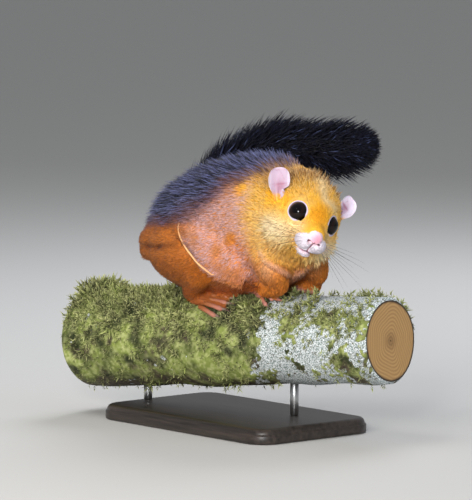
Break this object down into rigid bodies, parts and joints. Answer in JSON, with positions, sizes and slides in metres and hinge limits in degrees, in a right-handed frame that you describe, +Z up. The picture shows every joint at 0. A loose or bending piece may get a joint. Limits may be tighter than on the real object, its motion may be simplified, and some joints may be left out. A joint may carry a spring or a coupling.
{
  "type": "flying squirrel on branch perch",
  "caption": "Giant flying squirrel crouched on a cut length of mossy branch with its long tail carried forward over its back, a still life-size model on a plain stand.",
  "frame": {"origin": "middle of the underside of the display base, on the surface it stands on", "axes": "+X the way the body heads, +Y the animal's left, +Z up"},
  "size_m": [0.3649, 0.2021, 0.2881],
  "materials": {
    "orange_coat": "soft orange fur",
    "face_coat": "short golden fur",
    "black_coat": "long blue-black fur",
    "bare_skin": "thin pale pink skin",
    "eye_glass": "wet gloss",
    "mossy_branch": "bark with moss and pale lichen",
    "base_wood": "dark satin varnish",
    "rod_steel": "brushed"
  },
  "bodies": {
    "root": {"perch_branch": "mossy_branch", "stand_base": "base_wood", "stand_rod_1": "rod_steel", "stand_rod_2": "rod_steel", "eye_right": "eye_glass", "eye_left": "eye_glass", "head": "face_coat", "ear_right": "bare_skin", "ear_left": "bare_skin", "chest": "orange_coat", "rump": "black_coat", "neck": "face_coat", "tail_1": "black_coat", "tail_2": "black_coat", "tail_3": "black_coat", "tail_4": "black_coat", "thigh_right": "orange_coat", "shank_right": "orange_coat", "upper_arm_right": "orange_coat", "forearm_right": "orange_coat", "hand_right": "bare_skin", "foot_right": "orange_coat", "patagium_right": "orange_coat", "tail_skin_right": "orange_coat", "thigh_left": "orange_coat", "shank_left": "orange_coat", "upper_arm_left": "orange_coat", "forearm_left": "orange_coat", "hand_left": "bare_skin", "foot_left": "orange_coat", "patagium_left": "orange_coat", "tail_skin_left": "orange_coat"}
  },
  "joints": []
}
